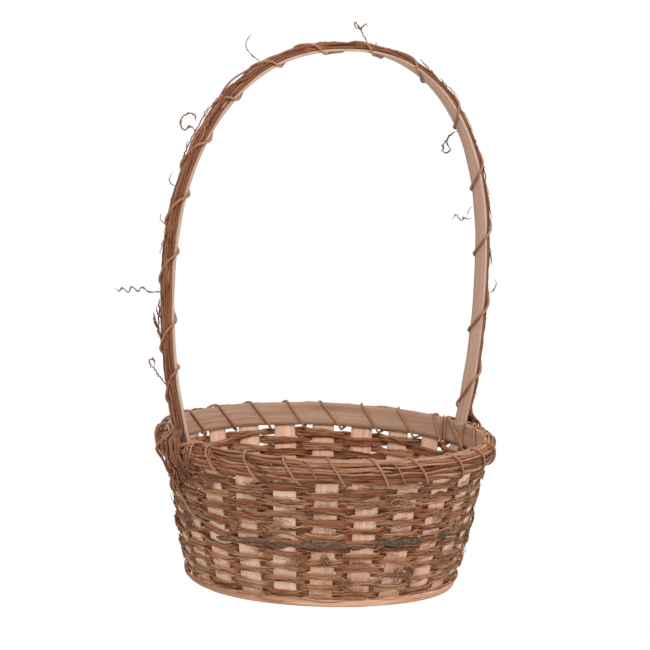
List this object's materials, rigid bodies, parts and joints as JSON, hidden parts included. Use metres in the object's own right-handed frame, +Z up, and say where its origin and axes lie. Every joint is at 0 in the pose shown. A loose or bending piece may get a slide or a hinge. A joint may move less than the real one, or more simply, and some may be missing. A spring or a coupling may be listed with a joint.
{
  "type": "woven market basket",
  "caption": "Round woven basket with flared wall, wood-chip stakes, vine weavers, lashed rim, foot hoop and a fixed bow handle.",
  "frame": {"origin": "centre of the foot, on the surface the basket stands on", "axes": "+Z up; the bow handle stands in the XZ plane, with its feet at +X and -X; +Y across the handle"},
  "size_m": [0.3299, 0.3184, 0.4782],
  "materials": {
    "wood_chip": "matte sawn grain",
    "rim_chip": "matte sawn grain",
    "split_cane": "satin",
    "brown_vine": "rough bark",
    "dark_vine": "rough bark",
    "tan_vine": "satin bark"
  },
  "bodies": {
    "root": {"stake_strip_x1": "wood_chip", "stake_strip_x2": "wood_chip", "stake_strip_x3": "wood_chip", "stake_strip_x4": "wood_chip", "stake_strip_x5": "wood_chip", "stake_strip_x6": "wood_chip", "stake_strip_x7": "wood_chip", "stake_strip_y1": "wood_chip", "stake_strip_y2": "wood_chip", "stake_strip_y3": "wood_chip", "stake_strip_y4": "wood_chip", "stake_strip_y5": "wood_chip", "foot_hoop": "split_cane", "weaver_01": "brown_vine", "weaver_02": "dark_vine", "weaver_03": "brown_vine", "weaver_04": "dark_vine", "weaver_05": "brown_vine", "weaver_06": "dark_vine", "weaver_07": "brown_vine", "weaver_08": "dark_vine", "weaver_09": "brown_vine", "weaver_10": "dark_vine", "weaver_11": "brown_vine", "weaver_12": "dark_vine", "weaver_13": "brown_vine", "weaver_14": "dark_vine", "weaver_15": "brown_vine", "weaver_16": "dark_vine", "weaver_17": "brown_vine", "rim_band": "rim_chip", "rim_vine_1": "dark_vine", "rim_vine_2": "dark_vine", "rim_vine_3": "dark_vine", "rim_vine_4": "dark_vine", "rim_vine_5": "dark_vine", "rim_lashing": "tan_vine", "handle_strip": "wood_chip", "handle_vine_1": "brown_vine", "handle_vine_2": "brown_vine", "handle_vine_3": "brown_vine", "handle_vine_4": "brown_vine", "handle_wrap": "tan_vine"}
  },
  "joints": []
}
